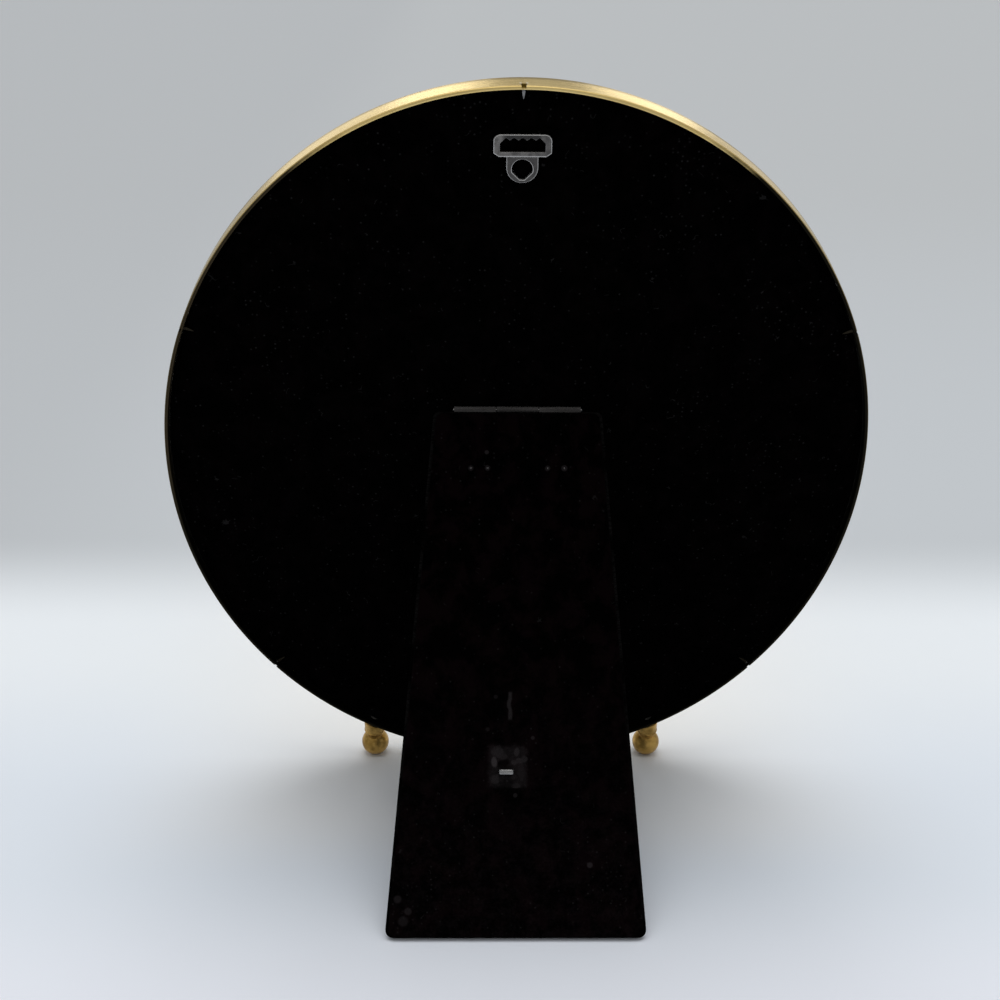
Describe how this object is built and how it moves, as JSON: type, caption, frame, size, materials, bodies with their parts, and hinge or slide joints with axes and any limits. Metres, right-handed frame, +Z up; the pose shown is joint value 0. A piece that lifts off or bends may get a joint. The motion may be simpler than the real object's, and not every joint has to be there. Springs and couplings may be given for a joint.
{
  "type": "oval picture frame",
  "caption": "Oval brass tabletop picture frame with a velvet easel back, a hinged leg on a ribbon stay, ball feet and a saw-tooth hanger.",
  "frame": {"origin": "middle of the standing frame's bounding box, on the floor that the ball feet and the leg stand on", "axes": "+Z up, the picture side faces -Y and leans back, the leg stands behind it at +Y, +X to the right seen from the front"},
  "size_m": [0.178, 0.0858, 0.2019],
  "materials": {
    "brass": "brushed and lacquered, warm, long grain along the band",
    "bright_brass": "turned and polished",
    "steel": "zinc plated, dull grey",
    "wire": "drawn, plain",
    "glass": "clear float",
    "photo_paper": "plain, blank",
    "card": "plain grey",
    "fibreboard": "dense brown-black board",
    "leg_board": "dense board, dyed black, cut edge",
    "velvet": "black flocked velvet",
    "ribbon": "black woven tape"
  },
  "bodies": {
    "frame": {"rim_band": "brass", "front_moulding": "brass", "glass_pane": "glass", "photo_insert": "photo_paper", "spacer_card": "card", "back_board": "fibreboard", "back_velvet": "velvet", "hanger_plate": "steel", "ball_foot_left": "bright_brass", "ball_foot_right": "bright_brass", "foot_stud_left": "steel", "foot_stud_right": "steel", "hinge_back_leaf": "steel", "hinge_pin": "wire", "stay_ribbon": "ribbon", "back_staple": "wire"},
    "leg": {"hinge_leg_leaf": "steel", "leg_board": "leg_board", "leg_velvet_inner": "velvet", "leg_velvet_outer": "velvet", "leg_staple": "wire"}
  },
  "joints": [
    {"name": "leg_hinge", "type": "hinge", "parent": "frame", "child": "leg", "pos_m": [0, -0.01203, 0.12053], "axis": [-1, 0, 0], "range_deg": [0, 34], "deforming": ["stay_ribbon"]}
  ]
}
